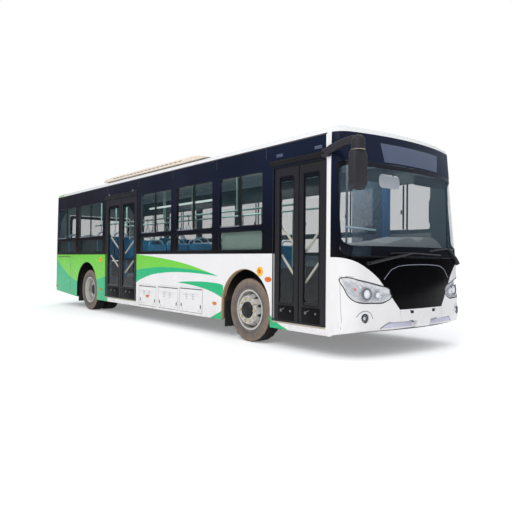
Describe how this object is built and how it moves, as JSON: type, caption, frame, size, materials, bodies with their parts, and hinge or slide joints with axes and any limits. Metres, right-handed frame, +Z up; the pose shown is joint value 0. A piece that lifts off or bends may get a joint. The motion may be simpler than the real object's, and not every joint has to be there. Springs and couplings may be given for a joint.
{
  "type": "city bus",
  "caption": "Single-deck low-floor city bus with double inward-swinging doors at the front and middle, side hatches, engine lid, steered front wheels and twin rear wheels.",
  "frame": {"origin": "on the ground, under the middle of the overall length and width", "axes": "+X forward, +Y to the left of the bus, +Z up; doors on the -Y side"},
  "size_m": [10.5947, 3.13, 3.1449],
  "materials": {
    "side_paint": "gloss white coach paint with green and teal sweeps",
    "rear_paint": "gloss green coach paint",
    "roof_paint": "gloss white coach paint",
    "band_black": "gloss near-black paint",
    "glass": "tinted safety glass",
    "lens_clear": "clear moulded lens",
    "lens_amber": "amber moulded lens",
    "lens_red": "red moulded lens",
    "tyre": "black tyre rubber",
    "rim_silver": "silver wheel paint",
    "chassis_black": "satin black chassis paint",
    "flap_rubber": "black rubber",
    "mirror_black": "grained black moulding",
    "seat_blue": "satin blue seat shell",
    "driver_fabric": "dark woven cover",
    "dash_grey": "grained grey moulding",
    "rail_green": "pale green powder coat",
    "floor_vinyl": "grey floor vinyl",
    "door_grey": "satin dark grey paint",
    "pod_tan": "satin tan paint",
    "battery_case": "satin grey paint"
  },
  "bodies": {
    "body": {"battery_pack": "battery_case", "cross_members": "chassis_black", "dashboard": "dash_grey", "driver_partition": "dash_grey", "driver_seat": "driver_fabric", "floor": "floor_vinyl", "fog_lamps": "lens_clear", "front_axle": "chassis_black", "front_fascia": "side_paint", "front_mask": "band_black", "handrails": "rail_green", "headlights": "lens_clear", "mirrors": "mirror_black", "mudflaps": "flap_rubber", "passenger_seats": "seat_blue", "podiums": "floor_vinyl", "rear_axle": "chassis_black", "rear_floor": "floor_vinyl", "rear_panel": "rear_paint", "rear_window": "glass", "roof": "roof_paint", "roof_pod": "pod_tan", "side_glass": "glass", "side_lower_left": "side_paint", "side_lower_right": "side_paint", "side_markers": "lens_amber", "tail_lamps": "lens_red", "underframe_rails": "chassis_black", "wheel_boxes": "chassis_black", "window_band_left": "band_black", "window_band_right": "band_black", "windscreen": "glass", "windscreen_frame": "band_black", "wipers": "mirror_black"},
    "knuckle_right": {"knuckle_right": "chassis_black"},
    "knuckle_left": {"knuckle_left": "chassis_black"},
    "front_wheel_right": {"front_tyre_right": "tyre", "front_rim_right": "rim_silver"},
    "front_wheel_left": {"front_tyre_left": "tyre", "front_rim_left": "rim_silver"},
    "rear_wheels_right": {"rear_tyres_right": "tyre", "rear_rims_right": "rim_silver"},
    "rear_wheels_left": {"rear_tyres_left": "tyre", "rear_rims_left": "rim_silver"},
    "front_door_front_leaf": {"front_door_front": "door_grey", "front_door_front_glass": "glass"},
    "front_door_rear_leaf": {"front_door_rear": "door_grey", "front_door_rear_glass": "glass"},
    "mid_door_front_leaf": {"mid_door_front": "door_grey", "mid_door_front_glass": "glass"},
    "mid_door_rear_leaf": {"mid_door_rear": "door_grey", "mid_door_rear_glass": "glass"},
    "hatch_front": {"service_hatch_front": "side_paint"},
    "hatch_middle": {"service_hatch_middle": "side_paint"},
    "hatch_rear": {"service_hatch_rear": "side_paint"},
    "rear_lid_panel": {"rear_lid": "rear_paint"}
  },
  "joints": [
    {"name": "steer_right", "type": "hinge", "parent": "body", "child": "knuckle_right", "pos_m": [2.9675, -0.975, 0.47], "axis": [0, 0, 1], "range_deg": [-38, 38]},
    {"name": "steer_left", "type": "hinge", "parent": "body", "child": "knuckle_left", "pos_m": [2.9675, 0.975, 0.47], "axis": [0, 0, 1], "range_deg": [-38, 38]},
    {"name": "front_wheel_right_spin", "type": "hinge", "parent": "knuckle_right", "child": "front_wheel_right", "pos_m": [2.9675, -1.06, 0.47], "axis": [0, 1, 0], "continuous": true},
    {"name": "front_wheel_left_spin", "type": "hinge", "parent": "knuckle_left", "child": "front_wheel_left", "pos_m": [2.9675, 1.06, 0.47], "axis": [0, 1, 0], "continuous": true},
    {"name": "rear_wheels_right_spin", "type": "hinge", "parent": "body", "child": "rear_wheels_right", "pos_m": [-3.0325, -0.9, 0.47], "axis": [0, 1, 0], "continuous": true},
    {"name": "rear_wheels_left_spin", "type": "hinge", "parent": "body", "child": "rear_wheels_left", "pos_m": [-3.0325, 0.9, 0.47], "axis": [0, 1, 0], "continuous": true},
    {"name": "front_door_rear_swing", "type": "hinge", "parent": "body", "child": "front_door_rear_leaf", "pos_m": [3.5995, -1.22, 1.4], "axis": [0, 0, 1], "range_deg": [0, 88]},
    {"name": "front_door_front_swing", "type": "hinge", "parent": "body", "child": "front_door_front_leaf", "pos_m": [4.5205, -1.22, 1.4], "axis": [0, 0, -1], "range_deg": [0, 88]},
    {"name": "mid_door_rear_swing", "type": "hinge", "parent": "body", "child": "mid_door_rear_leaf", "pos_m": [-1.9705, -1.22, 1.4], "axis": [0, 0, 1], "range_deg": [0, 88]},
    {"name": "mid_door_front_swing", "type": "hinge", "parent": "body", "child": "mid_door_front_leaf", "pos_m": [-0.5695, -1.22, 1.4], "axis": [0, 0, -1], "range_deg": [0, 88]},
    {"name": "hatch_rear_lift", "type": "hinge", "parent": "body", "child": "hatch_rear", "pos_m": [-0.0575, -1.25, 0.71], "axis": [-1, 0, 0], "range_deg": [0, 100]},
    {"name": "hatch_middle_lift", "type": "hinge", "parent": "body", "child": "hatch_middle", "pos_m": [0.715, -1.25, 0.722], "axis": [-1, 0, 0], "range_deg": [0, 100]},
    {"name": "hatch_front_lift", "type": "hinge", "parent": "body", "child": "hatch_front", "pos_m": [1.4775, -1.25, 0.736], "axis": [-1, 0, 0], "range_deg": [0, 100]},
    {"name": "rear_lid_lift", "type": "hinge", "parent": "body", "child": "rear_lid_panel", "pos_m": [-5.2861, 0, 1.324], "axis": [0, 1, 0], "range_deg": [0, 85]}
  ],
  "couplings": [
    {"joint": "steer_left", "follows": "steer_right", "ratio": 1}
  ]
}
